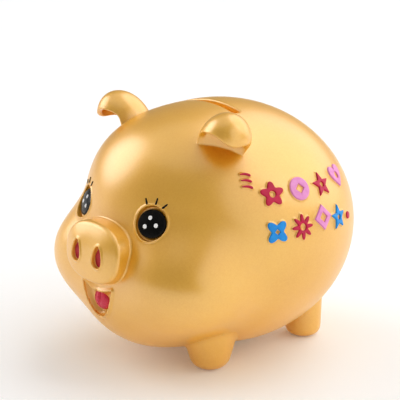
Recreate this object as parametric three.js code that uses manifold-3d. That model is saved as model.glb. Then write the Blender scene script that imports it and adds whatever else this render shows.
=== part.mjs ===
// A pig coin bank: a hollow moulded shell with a coin slot across its back and a rubber stopper
// in its belly, with ears, snout, eyes, tongue, feet, tail and raised flank ornaments fitted to it.
//
// Frame, in millimetres: the floor is z = 0 under the middle of the pig, +Z is up, the snout points
// along -Y and the pig's left flank faces +X.

import * as THREE from 'three';
import { mergeVertices } from 'three/addons/utils/BufferGeometryUtils.js';
import Module from 'manifold-3d';

const wasm = await Module();
wasm.setup();

// ---------------------------------------------------------------- driving dimensions

const WALL = 5; // thickness of the shell
const GAP = 0.3; // air between neighbouring pieces
const BELLY_HEIGHT = 6.5; // flat of the belly above the floor
const SPIGOT_DEPTH = 2.7; // how far a fitted piece reaches into the shell
const SKIN_SEGMENTS = [50, 32]; // around and from pole to pole
const CAVITY_SEGMENTS = [28, 18];
const SHELL_CENTRE = new THREE.Vector3(0, -4, 76); // every ray from here meets the skin once

// The skin is a smooth union of four lobes: each has a centre, radii and a blend width.
const TRUNK = { centre: [0, 0, 77.5], radii: [82, 86, 75.3] };
const BROW = { centre: [0, -26.5, 104.5], radii: [62, 51.7, 44.3], blend: 8 };
const CHEEK = { centre: [35.6, -54.8, 60.1], radii: [36.8, 35.9, 32.3], blend: 14 };
const MUZZLE = { centre: [0, -54.6, 42.9], radii: [29.4, 32, 27.6], blend: 30 };
const BELLY_BLEND = 6;

const SLOT = { length: 50.6, width: 5.5, y: -7.7, cornerRadius: 1.4, from: 130, to: 165 };

const EYE = { centre: [31.37, -77.32, 95.97], normal: [0.33, -0.872, 0.363] };
const EYE_SOCKET = { radius: 9.9, depth: 3.4, rimRadius: 10.8, rimHeight: 0.6 };
const EYE_DISC = { radius: 8.1, widening: 1.1, edge: 1, dome: 0.9 };
const EYE_SEAT_THICKNESS = 1.2;
const HIGHLIGHTS = [[-1, 3.1], [-3.5, -2], [3.3, -0.7]]; // across and up, from the left eye's middle
const HIGHLIGHT = { radius: 1.35, thickness: 0.5 };
const LASHES = [[[-4.3, 10.9], [-5.2, 13.3]], [[1.6, 11.5], [2, 14.2]], [[6.4, 9.9], [8.2, 11.7]]];
const LASH = { width: 0.8, height: 0.7 };

const SNOUT = { centre: [0, -96, 75.8], tilt: 8, halfWidth: 25, halfHeight: 17.2 };
const SNOUT_SQUARENESS = 2.4; // 2 would be an ellipse
// The drum from its back to the crown of its face: share of the half width, and height over the rim.
const SNOUT_PROFILE = [
  [0, -15], [1.12, -15], [1.12, -10], [1.05, -4], [1.015, -1.5], [0.985, -1], [0.985, -0.2],
  [0.95, 0.2], [0.85, 0.9], [0.7, 1.7], [0.45, 2.7], [0.2, 3.3], [0, 3.4],
];
const SNOUT_SPIGOT_RADIUS = 6;
const NOSTRIL = { x: 10, y: -0.6, radius: 4.2, height: 12.9, floor: -0.5, inlay: 1.2 };

const MOUTH = { cornerX: 13.6, cornerZ: 55, lipZ: 51.6, bottomZ: 35.6, lean: -1.3, floorY: -86.4 };
const MOUTH_RIM = { width: 1.7, height: 0.8 };
const MOUTH_WALL = { side: 4, back: 3.2 }; // material kept round the mouth and behind its floor
const TONGUE = { x: -1.3, z: 45.2, halfWidth: 7, halfHeight: 6.1, thickness: 3.4 };
const FACE_CUT = { from: 60, to: 110 }; // cuts through the face run between these distances to -Y

// Ear frame: its base point on the skin, the skin's normal there, and the way the hood opens.
const EAR = {
  base: [45.5, -36, 134.2],
  normal: [0.537, -0.248, 0.806],
  opening: [0.7, -0.7, 0],
  centre: [-0.5, -1, 2],
  radii: [15.4, 16, 20.8],
  sheet: 3,
};
const EAR_MOUTH = { roof: 8.2, slope: 0.75, wave: 2.2, waveCentre: -9, waveHalf: 13 };
const EAR_SPIGOT = { radius: 3, behind: 8 };

const FOOT = { x: 33.4, soleRadius: 9.8, edge: 5, height: 30 };
// Each end's feet: place along the pig, radius over the rounded edge, and radius at the top.
const FEET = { front: { y: -35.7, low: 12.2, top: 18 }, rear: { y: 43.8, low: 11.4, top: 11.9 } };
const FOOT_SPIGOT_RADIUS = 5;

const TAIL = { z: 90, start: 89.5, pitch: 7.8, curl: 7.5, tightening: 0.35, radius: 2.6, turns: 1.15 };
const TAIL_STEPS = { guides: 12, sections: 26 };

const STOPPER = { holeRadius: 15.5, flangeRadius: 18.5, flange: 2.2, neck: 8.5, wall: 2.4 };
const STOPPER_CHAMFER = 0.9;
const STOPPER_TAB = { length: 13, width: 3, drop: 2.2 };

const MOTIF = { height: 1.5, size: 7.4 };

const GOLD = '#d9a63f';
const CRIMSON = '#c41f4a';
const PINK = '#e59ad4';
const BLUE = '#1f93e0';

// ---------------------------------------------------------------- small helpers

const vector = (values) => new THREE.Vector3(...values);
const mirrored = ([x, y, z], side) => [x * side, y, z];

/** A matrix that takes local x, y, z to across, upward and outward, with its origin at `origin`. */
function frameMatrix(origin, outward, upwardHint = new THREE.Vector3(0, 0, 1)) {
  const zAxis = outward.clone().normalize();
  const xAxis = new THREE.Vector3().crossVectors(upwardHint, zAxis).normalize();
  const yAxis = new THREE.Vector3().crossVectors(zAxis, xAxis);
  return new THREE.Matrix4().makeBasis(xAxis, yAxis, zAxis).setPosition(origin);
}

/** A three.js geometry as a solid that can be cut and joined. */
function toSolid(geometry) {
  const bare = geometry.clone();
  bare.deleteAttribute('normal');
  bare.deleteAttribute('uv');
  const merged = mergeVertices(bare, 1e-4);
  const position = merged.attributes.position;
  const corners = [0, 1, 2].map(() => new THREE.Vector3());
  const triangles = [];
  let volume = 0;
  for (let i = 0; i < merged.index.count; i += 3) {
    const [a, b, c] = [0, 1, 2].map((k) => merged.index.getX(i + k));
    if (a === b || b === c || c === a) continue;
    triangles.push([a, b, c]);
    corners.forEach((corner, k) => corner.fromBufferAttribute(position, [a, b, c][k]));
    volume += corners[0].dot(corners[1].clone().cross(corners[2]));
  }
  const outward = volume > 0 ? triangles : triangles.map(([a, b, c]) => [a, c, b]);
  return new wasm.Manifold(new wasm.Mesh({
    numProp: 3,
    vertProperties: new Float32Array(position.array),
    triVerts: new Uint32Array(outward.flat()),
  }));
}

/** A solid turned back into a three.js geometry. */
function toGeometry(solid) {
  const mesh = solid.getMesh();
  const geometry = new THREE.BufferGeometry();
  const positions = new Float32Array(mesh.vertProperties);
  geometry.setAttribute('position', new THREE.BufferAttribute(positions, 3));
  geometry.setIndex(new THREE.BufferAttribute(new Uint32Array(mesh.triVerts), 1));
  geometry.computeVertexNormals();
  return geometry;
}

/** A round solid about the local z axis, from [radius, height] points. */
function turned(profile, segments = 24) {
  const points = profile.map(([radius, height]) => new THREE.Vector2(radius, height));
  return new THREE.LatheGeometry(points, segments).rotateX(Math.PI / 2);
}

const rod = (radius, low, high, segments = 24) =>
  turned([[0, low], [radius, low], [radius, high], [0, high]], segments);

/** A flat outline raised from `low` to `high` along the local z axis. */
function raised(shape, low, high, curveSegments = 6) {
  const prism = { depth: high - low, bevelEnabled: false, curveSegments };
  return new THREE.ExtrudeGeometry(shape, prism).translate(0, 0, low);
}

// ---------------------------------------------------------------- the skin

/** Signed distance to an ellipsoid, exact at its surface to first order. */
function ellipsoidDistance(point, centre, radii) {
  const scaled = point.clone().sub(centre).divide(radii);
  const steep = scaled.clone().divide(radii).length();
  const size = scaled.length();
  return (size * (size - 1)) / (steep + 1e-9);
}

function smoothMin(a, b, blend) {
  const overlap = Math.max(blend - Math.abs(a - b), 0) / blend;
  return Math.min(a, b) - (overlap * overlap * blend) / 4;
}

const smoothMax = (a, b, blend) => -smoothMin(-a, -b, blend);

const lobes = [TRUNK, BROW, CHEEK, MUZZLE].map((lobe) => ({
  centre: vector(lobe.centre),
  radii: vector(lobe.radii),
  blend: lobe.blend,
}));

/** Distance outside the pig's skin, negative inside it. */
function skinDistance(point) {
  const folded = new THREE.Vector3(Math.abs(point.x), point.y, point.z);
  const [trunk, ...others] = lobes;
  const body = others.reduce(
    (sofar, lobe) => smoothMin(sofar, ellipsoidDistance(folded, lobe.centre, lobe.radii), lobe.blend),
    ellipsoidDistance(folded, trunk.centre, trunk.radii),
  );
  return smoothMax(body, BELLY_HEIGHT - point.z, BELLY_BLEND);
}

/** How far along a ray from inside the skin the distance reaches `offset`. */
function reach(origin, direction, offset, farthest = 150) {
  let [low, high] = [0, farthest];
  const point = new THREE.Vector3();
  for (let step = 0; step < 40; step += 1) {
    const middle = (low + high) / 2;
    point.copy(origin).addScaledVector(direction, middle);
    if (skinDistance(point) < offset) low = middle;
    else high = middle;
  }
  return low;
}

/** The solid inside the skin grown by `offset`. */
function skinSolid(offset, [around, poleToPole]) {
  const geometry = new THREE.SphereGeometry(1, around, poleToPole).rotateX(Math.PI / 2);
  const position = geometry.attributes.position;
  const direction = new THREE.Vector3();
  for (let i = 0; i < position.count; i += 1) {
    direction.fromBufferAttribute(position, i).normalize();
    const distance = reach(SHELL_CENTRE, direction, offset);
    const point = SHELL_CENTRE.clone().addScaledVector(direction, distance);
    position.setXYZ(i, point.x, point.y, point.z);
  }
  return toSolid(geometry);
}

/** The skin point straight below an outside point, looking back along `outward`. */
function skinPoint(start, outward, depth = 30) {
  const inside = start.clone().addScaledVector(outward, -depth);
  return inside.clone().addScaledVector(outward, reach(inside, outward, 0, 2 * depth));
}

const skin = skinSolid(0, SKIN_SEGMENTS);
const skinWithGap = skinSolid(GAP, SKIN_SEGMENTS);
const cavity = skinSolid(-WALL, CAVITY_SEGMENTS);

/** Cuts a piece so that it sits on the skin with the usual gap. */
const seatedOnSkin = (solid) => solid.subtract(skinWithGap);

// ---------------------------------------------------------------- places on the skin

const sides = [['left', 1], ['right', -1]];
const feetPlaces = Object.entries(FEET).flatMap(([end, shape]) =>
  sides.map(([side, sign]) => ({ name: `${end}_${side}_foot`, x: FOOT.x * sign, ...shape })),
);

const eyeMatrix = (side) =>
  frameMatrix(vector(mirrored(EYE.centre, side)), vector(mirrored(EYE.normal, side)));

const snoutTilt = THREE.MathUtils.degToRad(SNOUT.tilt);
const snoutOutward = new THREE.Vector3(0, -Math.cos(snoutTilt), Math.sin(snoutTilt));
const snoutMatrix = frameMatrix(vector(SNOUT.centre), snoutOutward);

/** Where the skin lies behind the middle of the snout's face, along the snout's own axis. */
const snoutSeat = -skinPoint(vector(SNOUT.centre), snoutOutward).distanceTo(vector(SNOUT.centre));

const mouthMatrix = frameMatrix(new THREE.Vector3(0, 0, 0), new THREE.Vector3(0, -1, 0));

/** The ear's axes: local x along its base chord, y the way it opens, z off the skin. */
function earMatrix(side) {
  const normal = vector(EAR.normal).normalize();
  const opening = vector(EAR.opening);
  opening.addScaledVector(normal, -opening.dot(normal)).normalize();
  const chord = new THREE.Vector3().crossVectors(normal, opening);
  const left = new THREE.Matrix4().makeBasis(chord, opening, normal).setPosition(vector(EAR.base));
  return new THREE.Matrix4().makeScale(side, 1, 1).multiply(left);
}

/** The spigot under an ear, and the socket that takes it, in the ear's own frame. */
function earSpigot(extraRadius, extraDepth) {
  const base = rod(EAR_SPIGOT.radius + extraRadius, -SPIGOT_DEPTH - extraDepth, 3, 20);
  return base.translate(0, -EAR_SPIGOT.behind, 0);
}

const rearward = new THREE.Vector3(0, 1, 0);
const tailMatrix = frameMatrix(skinPoint(new THREE.Vector3(0, TAIL.start, TAIL.z), rearward), rearward);
const tailRoot = new THREE.Vector3(0, 0, -SPIGOT_DEPTH).applyMatrix4(tailMatrix);

// ---------------------------------------------------------------- outlines

/** The mouth: a bowl under an upper lip that dips in the middle, grown by `margin`. */
function mouthShape(margin) {
  const { cornerX, cornerZ, lipZ, bottomZ, lean } = MOUTH;
  const [right, top] = [cornerX + margin, cornerZ + margin];
  const [lip, bottom] = [lipZ + margin, bottomZ - margin];
  const shape = new THREE.Shape();
  shape.moveTo(-right, top);
  shape.bezierCurveTo(-right * 0.7, top - 1.4, -right * 0.35, lip, 0, lip);
  shape.bezierCurveTo(right * 0.35, lip, right * 0.7, top - 1.4, right, top);
  shape.bezierCurveTo(right * 0.88, top - 9, right * 0.42, bottom, lean, bottom);
  shape.bezierCurveTo(-right * 0.6, bottom, -right * 0.9, top - 9, -right, top);
  return shape;
}

/** The mouth's outline, grown by `margin`, as a solid that runs through the front of the head. */
function mouthSolid(margin, from = FACE_CUT.from) {
  return toSolid(raised(mouthShape(margin), from, FACE_CUT.to).applyMatrix4(mouthMatrix));
}

/** A nostril: round below and drawn in towards the top, shrunk by `margin`. */
function nostrilShape(margin) {
  const radius = NOSTRIL.radius - margin;
  const centreY = -NOSTRIL.height / 2 + NOSTRIL.radius;
  const tip = NOSTRIL.height / 2 - margin;
  const shape = new THREE.Shape();
  shape.absarc(0, centreY, radius, Math.PI, 2 * Math.PI, false);
  shape.bezierCurveTo(radius, centreY + 4, radius * 0.55, tip, 0, tip);
  shape.bezierCurveTo(-radius * 0.55, tip, -radius, centreY + 4, -radius, centreY);
  return shape;
}

/** A closed outline whose radius is a function of the angle. */
function polarShape(radiusAt, points = 40) {
  const turn = (2 * Math.PI) / points;
  const outline = Array.from({ length: points }, (_, i) => {
    const angle = Math.PI / 2 + i * turn;
    return new THREE.Vector2(Math.cos(angle), Math.sin(angle)).multiplyScalar(radiusAt(i * turn));
  });
  return new THREE.Shape(outline);
}

/** A round, square or other regular hole, wound the other way round. */
function regularHole(radius, corners) {
  const hole = polarShape(() => radius, corners).getPoints().reverse();
  return new THREE.Path(hole);
}

function withHole(shape, radius, corners) {
  shape.holes.push(regularHole(radius, corners));
  return shape;
}

const size = MOTIF.size;
const blossom = () =>
  withHole(polarShape((t) => size * (0.8 + 0.2 * Math.cos(5 * t)), 30), size * 0.26, 10);
const clover = () =>
  withHole(polarShape((t) => size * (0.76 + 0.24 * Math.cos(4 * t + Math.PI)), 32), size * 0.22, 4);
const coinRing = () => withHole(polarShape(() => size * 0.92, 24), size * 0.4, 4);
const burst = () =>
  withHole(polarShape((t) => size * (0.74 + 0.26 * Math.cos(8 * t)), 32), size * 0.28, 8);
const star = () => {
  const corners = polarShape((t) => size * (Math.round((t * 5) / Math.PI) % 2 ? 0.48 : 1.05), 10);
  return withHole(corners, size * 0.24, 5);
};
const lozenge = () => withHole(polarShape(() => size, 4), size * 0.42, 4);
const dot = () => polarShape(() => size * 0.3, 12);

function heart() {
  const shape = new THREE.Shape();
  shape.moveTo(0, -size * 0.95);
  shape.bezierCurveTo(size * 0.5, -size * 0.5, size * 1.05, 0, size, size * 0.42);
  shape.bezierCurveTo(size * 0.95, size * 1.02, size * 0.2, size * 1.0, 0, size * 0.45);
  shape.bezierCurveTo(-size * 0.2, size * 1.0, -size * 0.95, size * 1.02, -size, size * 0.42);
  shape.bezierCurveTo(-size * 1.05, 0, -size * 0.5, -size * 0.5, 0, -size * 0.95);
  return withHole(shape, size * 0.3, 8);
}

/** A short curved stroke. */
function flick() {
  const [length, width] = [2.6, 0.75];
  const shape = new THREE.Shape();
  shape.moveTo(-length, -width * 0.2);
  shape.quadraticCurveTo(0, width * 1.7, length, width);
  shape.quadraticCurveTo(length + 0.9, 0, length, -width);
  shape.quadraticCurveTo(0, -width * 0.3, -length, -width * 1.4);
  shape.quadraticCurveTo(-length - 0.7, -width * 0.8, -length, -width * 0.2);
  return shape;
}

// Ornaments on the left flank: name, outline, colour, and the point beside the skin where each sits.
const MOTIFS = [
  ['flank_blossom', blossom, CRIMSON, [69.2, -22.6, 110.4]],
  ['flank_coin_ring', coinRing, PINK, [72.4, -4.5, 111.3]],
  ['flank_star', star, CRIMSON, [71.5, 13.6, 110.4]],
  ['flank_heart', heart, PINK, [63.4, 31.7, 110.4]],
  ['flank_clover', clover, BLUE, [76.7, -25, 91.3]],
  ['flank_burst', burst, CRIMSON, [79.9, -8.5, 91.7]],
  ['flank_lozenge', lozenge, PINK, [79.4, 8.3, 94.1]],
  ['flank_small_star', star, BLUE, [77.3, 23.4, 90.9]],
  ['flank_dot', dot, CRIMSON, [73.3, 35.8, 88.9]],
];
const FLICKS = { place: [61.3, -34.3, 118.8], count: 3, pitch: 3.6, turn: -0.35 };

/** The skin frame beside a point on the flank, with local y as near to up as the skin allows. */
function flankMatrix(place) {
  const middle = new THREE.Vector3(0, place[1] * 0.6, SHELL_CENTRE.z);
  const outwardGuess = vector(place).sub(middle).normalize();
  const point = skinPoint(vector(place), outwardGuess, 20);
  const step = 0.5;
  const slope = [0, 1, 2].map((axis) => {
    const ahead = point.clone().setComponent(axis, point.getComponent(axis) + step);
    const behind = point.clone().setComponent(axis, point.getComponent(axis) - step);
    return skinDistance(ahead) - skinDistance(behind);
  });
  return frameMatrix(point, vector(slope));
}

// ---------------------------------------------------------------- the pieces

function coinSlotCutter() {
  const { length, width, cornerRadius } = SLOT;
  const [x, y] = [length / 2, width / 2];
  const shape = new THREE.Shape();
  shape.absarc(x - cornerRadius, y - cornerRadius, cornerRadius, 0, Math.PI / 2, false);
  shape.absarc(-x + cornerRadius, y - cornerRadius, cornerRadius, Math.PI / 2, Math.PI, false);
  shape.absarc(-x + cornerRadius, -y + cornerRadius, cornerRadius, Math.PI, Math.PI * 1.5, false);
  shape.absarc(x - cornerRadius, -y + cornerRadius, cornerRadius, Math.PI * 1.5, Math.PI * 2, false);
  return toSolid(raised(shape, SLOT.from, SLOT.to, 3).translate(0, SLOT.y, 0));
}

/** The raised borders round the eyes and the mouth, which are part of the shell. */
function shellBorders() {
  const eyeRims = sides.map(([, side]) =>
    toSolid(rod(EYE_SOCKET.rimRadius, -6, 3, 32).applyMatrix4(eyeMatrix(side))),
  );
  const eyeBand = eyeRims[0].add(eyeRims[1]).intersect(skinSolid(EYE_SOCKET.rimHeight, SKIN_SEGMENTS));
  const mouthBand = mouthSolid(MOUTH_RIM.width).intersect(skinSolid(MOUTH_RIM.height, SKIN_SEGMENTS));
  return eyeBand.add(mouthBand);
}

/** The inside of the shell, kept clear of the mouth's pocket. */
function hollow() {
  return cavity.subtract(mouthSolid(MOUTH_WALL.side, -MOUTH.floorY - MOUTH_WALL.back));
}

function earSockets() {
  return sides.map(([, side]) => toSolid(earSpigot(GAP, GAP).applyMatrix4(earMatrix(side))));
}

function eyeSockets() {
  return sides.map(([, side]) =>
    toSolid(rod(EYE_SOCKET.radius, -EYE_SOCKET.depth, 6, 32).applyMatrix4(eyeMatrix(side))),
  );
}

/** How far up the shell a foot's spigot reaches. */
function footSpigotTop({ x, y }) {
  const under = new THREE.Vector3(x, y, 0);
  return skinPoint(under, new THREE.Vector3(0, 0, -1), 60).z + SPIGOT_DEPTH;
}

function footSockets() {
  return feetPlaces.map((place) => {
    const socket = rod(FOOT_SPIGOT_RADIUS + GAP, 2, footSpigotTop(place) + GAP, 16);
    return toSolid(socket.translate(place.x, place.y, 0));
  });
}

function stopperHole() {
  const { holeRadius, flangeRadius, flange } = STOPPER;
  const seat = BELLY_HEIGHT + flange;
  const [rebate, top] = [flangeRadius + GAP, BELLY_HEIGHT + 2 * WALL];
  const outside = [[0, 0], [rebate, 0], [rebate, seat]];
  return toSolid(turned([...outside, [holeRadius, seat], [holeRadius, top], [0, top]], 32));
}

/** The spigot behind the snout, and the socket that takes it, in the snout's own frame. */
function snoutSpigot(extraRadius, extraDepth) {
  const end = snoutSeat - SPIGOT_DEPTH - extraDepth;
  return rod(SNOUT_SPIGOT_RADIUS + extraRadius, end, snoutSeat + 1, 28);
}

function bodyShell() {
  const snoutSocket = toSolid(snoutSpigot(GAP, GAP).applyMatrix4(snoutMatrix));
  const tailRod = rod(TAIL.radius + 2 * GAP, -SPIGOT_DEPTH - GAP, 6, 20);
  const tailSocket = toSolid(tailRod.applyMatrix4(tailMatrix));
  const openings = [
    hollow(),
    coinSlotCutter(),
    stopperHole(),
    mouthSolid(0, -MOUTH.floorY),
    snoutSocket,
    tailSocket,
    ...eyeSockets(),
    ...earSockets(),
    ...footSockets(),
  ];
  return openings.reduce((shell, opening) => shell.subtract(opening), skin.add(shellBorders()));
}

/** The gap under the ear's hood: a channel along the way it opens, with a wavy, rising roof. */
function earMouthCutter() {
  const { roof, slope, wave, waveCentre, waveHalf } = EAR_MOUTH;
  const [across, along] = [18, 8];
  const geometry = new THREE.BoxGeometry(60, 40, 1, across, along, 1);
  const position = geometry.attributes.position;
  for (let i = 0; i < position.count; i += 1) {
    const x = position.getX(i);
    const y = position.getY(i) + 20;
    const crest = wave * Math.cos(((x - waveCentre) / waveHalf) * Math.PI);
    const ceiling = roof + slope * y + crest * Math.min(1, 0.4 + y / 12);
    const rounding = Math.min(1, Math.sqrt(Math.max(0, (y + 0.6) / 5)));
    const z = position.getZ(i) > 0 ? ceiling * rounding : -12;
    position.setXYZ(i, x, y, z);
  }
  return toSolid(geometry);
}

function earPiece(side) {
  const ellipsoid = (shrink) => {
    const [x, y, z] = EAR.radii.map((radius) => radius - shrink);
    return toSolid(new THREE.SphereGeometry(1, 22, 14).scale(x, y, z).translate(...EAR.centre));
  };
  const outer = ellipsoid(0);
  const floorTilt = new THREE.Matrix4().makeRotationX(-0.42).setPosition(0, 1, 2.6);
  const floorBlock = new THREE.BoxGeometry(60, 40, 30).translate(0, -20, -15).applyMatrix4(floorTilt);
  const floor = outer.intersect(toSolid(floorBlock));
  const hood = outer.subtract(ellipsoid(EAR.sheet)).subtract(earMouthCutter());
  const placed = toSolid(toGeometry(hood.add(floor)).applyMatrix4(earMatrix(side)));
  const spigot = toSolid(earSpigot(0, 0).applyMatrix4(earMatrix(side)));
  return seatedOnSkin(placed).add(spigot);
}

/** The snout: a tilted oval drum with a fine line round its crowned face. */
function snoutDrum() {
  const { halfWidth, halfHeight } = SNOUT;
  const power = SNOUT_SQUARENESS;
  const geometry = turned(SNOUT_PROFILE, 40);
  const position = geometry.attributes.position;
  for (let i = 0; i < position.count; i += 1) {
    const [x, y] = [position.getX(i), position.getY(i)];
    const radius = Math.hypot(x, y);
    if (radius < 1e-9) continue;
    const [c, s] = [x / radius, y / radius];
    const oval = (Math.abs(c) ** power + Math.abs(s) ** power) ** (-1 / power);
    position.setXY(i, c * oval * radius * halfWidth, s * oval * radius * halfHeight);
  }
  return toSolid(geometry);
}

function nostrilSolid(side, margin, low, high) {
  return toSolid(raised(nostrilShape(margin), low, high).translate(NOSTRIL.x * side, NOSTRIL.y, 0));
}

function inSnoutFrame(solid) {
  return toSolid(toGeometry(solid).applyMatrix4(snoutMatrix));
}

function snoutPiece() {
  const { floor } = NOSTRIL;
  const pockets = sides.map(([, side]) => nostrilSolid(side, 0, floor, floor + 2 * WALL));
  const drum = snoutDrum().subtract(pockets[0]).subtract(pockets[1]);
  const spigot = toSolid(snoutSpigot(0, 0).applyMatrix4(snoutMatrix));
  return seatedOnSkin(inSnoutFrame(drum)).add(spigot);
}

function nostrilInlay(side) {
  const floor = NOSTRIL.floor + GAP;
  return inSnoutFrame(nostrilSolid(side, GAP, floor, floor + NOSTRIL.inlay));
}

/** The tongue: an oval pad with a crowned face. */
function tonguePiece() {
  const { x, z, halfWidth, halfHeight, thickness } = TONGUE;
  const sections = [[0, 0], [1, 0], [1, 0.45], [0.86, 0.8], [0.5, 1], [0, 1]];
  const profile = sections.map(([part, lift]) => [part, lift * thickness]);
  const pad = turned(profile, 28).scale(halfWidth, halfHeight, 1);
  const placed = pad.translate(x, z, -MOUTH.floorY + GAP).applyMatrix4(mouthMatrix);
  return toSolid(placed).intersect(mouthSolid(-GAP));
}

function eyeSeat(side) {
  const floor = -EYE_SOCKET.depth + GAP;
  const plate = rod(EYE_SOCKET.radius - GAP, floor, floor + EYE_SEAT_THICKNESS, 32);
  return toSolid(plate.applyMatrix4(eyeMatrix(side)));
}

const discFloor = -EYE_SOCKET.depth + EYE_SEAT_THICKNESS + 2 * GAP;

/** Height of the eye disc's domed face at a distance from its middle. */
const domeHeight = (radius) =>
  discFloor + EYE_DISC.edge + EYE_DISC.dome * (1 - (radius / EYE_DISC.radius) ** 2);

function eyeDisc(side) {
  const rings = [1, 0.8, 0.5, 0].map((part) => {
    const radius = EYE_DISC.radius * part;
    return [radius, domeHeight(radius)];
  });
  const profile = [[0, discFloor], [EYE_DISC.radius, discFloor], ...rings];
  return toSolid(turned(profile, 32).scale(EYE_DISC.widening, 1, 1).applyMatrix4(eyeMatrix(side)));
}

function eyeHighlight(side, [across, up]) {
  const nearest = Math.max(0, Math.hypot(across / EYE_DISC.widening, up) - HIGHLIGHT.radius);
  const lift = domeHeight(nearest) + GAP;
  const button = rod(HIGHLIGHT.radius, lift, lift + HIGHLIGHT.thickness, 12);
  return toSolid(button.translate(across * side, up, 0).applyMatrix4(eyeMatrix(side)));
}

const skinUnderLashes = skinSolid(GAP + LASH.height, SKIN_SEGMENTS);

function eyeLash(side, [[x0, y0], [x1, y1]]) {
  const length = Math.hypot(x1 - x0, y1 - y0);
  const strip = new THREE.BoxGeometry(length, LASH.width, 20);
  strip.rotateZ(Math.atan2(y1 - y0, (x1 - x0) * side));
  strip.translate(((x0 + x1) / 2) * side, (y0 + y1) / 2, 0);
  return seatedOnSkin(toSolid(strip.applyMatrix4(eyeMatrix(side))).intersect(skinUnderLashes));
}

function footPiece(place) {
  const { soleRadius, edge, height } = FOOT;
  const arc = [0, 0.25, 0.5, 0.75, 1].map((part) => {
    const angle = (part * Math.PI) / 2;
    return [soleRadius + (place.low - soleRadius) * Math.sin(angle), edge * (1 - Math.cos(angle))];
  });
  const profile = [[0, 0], ...arc, [place.top, height], [0, height]];
  const column = turned(profile, 24).translate(place.x, place.y, 0);
  const spigot = rod(FOOT_SPIGOT_RADIUS, edge, footSpigotTop(place), 16).translate(place.x, place.y, 0);
  return seatedOnSkin(toSolid(column)).add(toSolid(spigot));
}

/** The tail: a tube that leaves the rump and curls once round, standing on a spigot of its own size. */
function tailPiece() {
  const { z, start, pitch, curl, tightening, radius, turns } = TAIL;
  const { guides, sections } = TAIL_STEPS;
  const curled = Array.from({ length: guides + 1 }, (_, i) => {
    const part = i / guides;
    const angle = part * turns * 2 * Math.PI;
    const width = curl * (1 - tightening * part);
    const rise = width * (1 - Math.cos(angle));
    return new THREE.Vector3(width * Math.sin(angle), start + pitch * part, z + rise);
  });
  const extrudePath = new THREE.CatmullRomCurve3([tailRoot, ...curled]);
  const tube = { steps: sections, extrudePath, bevelEnabled: false };
  return toSolid(new THREE.ExtrudeGeometry(polarShape(() => radius, 8), tube));
}

/** The stopper: a hollow rubber cup with a flange flush in the belly and a finger tab under it. */
function stopperPiece() {
  const { holeRadius, flangeRadius, flange, neck, wall } = STOPPER;
  const chamfer = STOPPER_CHAMFER;
  const face = BELLY_HEIGHT;
  const [seat, top] = [face + flange - GAP, face + neck];
  const outer = holeRadius - GAP;
  const inner = outer - wall;
  const bowlFloor = seat + chamfer;
  const cup = toSolid(turned([
    [0, face], [flangeRadius - chamfer, face], [flangeRadius, face + chamfer], [flangeRadius, seat],
    [outer, seat], [outer, top - chamfer], [outer - chamfer, top], [inner, top],
    [inner, bowlFloor], [0, bowlFloor],
  ], 32));
  const { length, width, drop } = STOPPER_TAB;
  const rib = new THREE.BoxGeometry(length, width, drop + 1).translate(0, 0, face - drop / 2 + 0.5);
  return cup.add(toSolid(rib));
}

const skinOverMotifs = skinSolid(MOTIF.height, SKIN_SEGMENTS);

function flankPiece(shape, place, turn = 0, shift = 0) {
  const prism = raised(shape, -MOTIF.size, MOTIF.size, 4).rotateZ(turn).translate(0, shift, 0);
  return seatedOnSkin(toSolid(prism.applyMatrix4(flankMatrix(place))).intersect(skinOverMotifs));
}

// ---------------------------------------------------------------- materials and assembly

function looks(color, roughness, metalness) {
  return new THREE.MeshStandardMaterial({ color, roughness, metalness });
}
const goldLacquer = () => looks(GOLD, 0.38, 0.6);
const redLacquer = () => looks('#9c1230', 0.5, 0);
const blackGloss = () => looks('#141416', 0.16, 0);
const whiteGloss = () => looks('#f4f2ee', 0.3, 0);
const tonguePaint = () => looks('#d0507a', 0.45, 0);
const rubber = () => looks('#d8c9a0', 0.75, 0);
const flankPaint = (color) => looks(color, 0.45, 0);

const bank = new THREE.Group();

function addPiece(name, solid, material) {
  const mesh = new THREE.Mesh(toGeometry(solid), material);
  mesh.name = name;
  bank.add(mesh);
}

addPiece('body_shell', bodyShell(), goldLacquer());
addPiece('snout', snoutPiece(), goldLacquer());
addPiece('tongue', tonguePiece(), tonguePaint());
addPiece('tail', tailPiece(), goldLacquer());
addPiece('belly_stopper', stopperPiece(), rubber());
feetPlaces.forEach((place) => addPiece(place.name, footPiece(place), goldLacquer()));
sides.forEach(([name, side]) => {
  addPiece(`${name}_ear`, earPiece(side), goldLacquer());
  addPiece(`${name}_nostril_inlay`, nostrilInlay(side), redLacquer());
  addPiece(`${name}_eye_seat`, eyeSeat(side), goldLacquer());
  addPiece(`${name}_eye_disc`, eyeDisc(side), blackGloss());
  HIGHLIGHTS.forEach((spot, i) => {
    addPiece(`${name}_eye_highlight_${i + 1}`, eyeHighlight(side, spot), whiteGloss());
  });
  LASHES.forEach((ends, i) => {
    addPiece(`${name}_eye_lash_${i + 1}`, eyeLash(side, ends), blackGloss());
  });
});
MOTIFS.forEach(([name, outline, color, place]) => {
  addPiece(name, flankPiece(outline(), place), flankPaint(color));
});
for (let i = 0; i < FLICKS.count; i += 1) {
  const shift = (i - (FLICKS.count - 1) / 2) * FLICKS.pitch;
  const stroke = flankPiece(flick(), FLICKS.place, FLICKS.turn, shift);
  addPiece(`flank_flick_${i + 1}`, stroke, flankPaint(CRIMSON));
}

export default bank;
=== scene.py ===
"""The looks of the pig coin bank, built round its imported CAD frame.

The gold pieces are one sculpted form, written as signed distances in millimetres and turned into
meshes by surface nets. +Z is up, the snout points along -Y and the left flank faces +X.
"""

import math

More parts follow.
